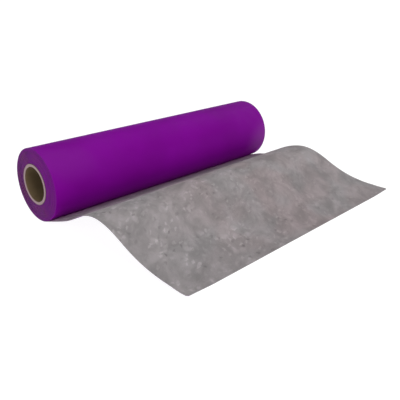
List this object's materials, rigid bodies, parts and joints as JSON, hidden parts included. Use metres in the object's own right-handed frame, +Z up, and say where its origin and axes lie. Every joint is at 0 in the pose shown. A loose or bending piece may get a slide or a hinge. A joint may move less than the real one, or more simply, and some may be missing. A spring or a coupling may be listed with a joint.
{
  "type": "roll of waterproofing membrane",
  "caption": "Roll of fleece-backed waterproofing sheet wound on a cardboard core, lying on the floor with its free end pulled out in a low wave.",
  "frame": {"origin": "on the floor, under the middle of the whole object's box", "axes": "+X along the roll's axis, +Z up, the free end of the sheet lies towards -Y"},
  "size_m": [1.002, 0.7944, 0.2371],
  "materials": {
    "membrane": "satin purple film outside, grey mottled fleece on the other side",
    "core_tube": "plain wound board"
  },
  "bodies": {
    "root": {"membrane": "membrane", "core_tube": "core_tube"}
  },
  "joints": []
}
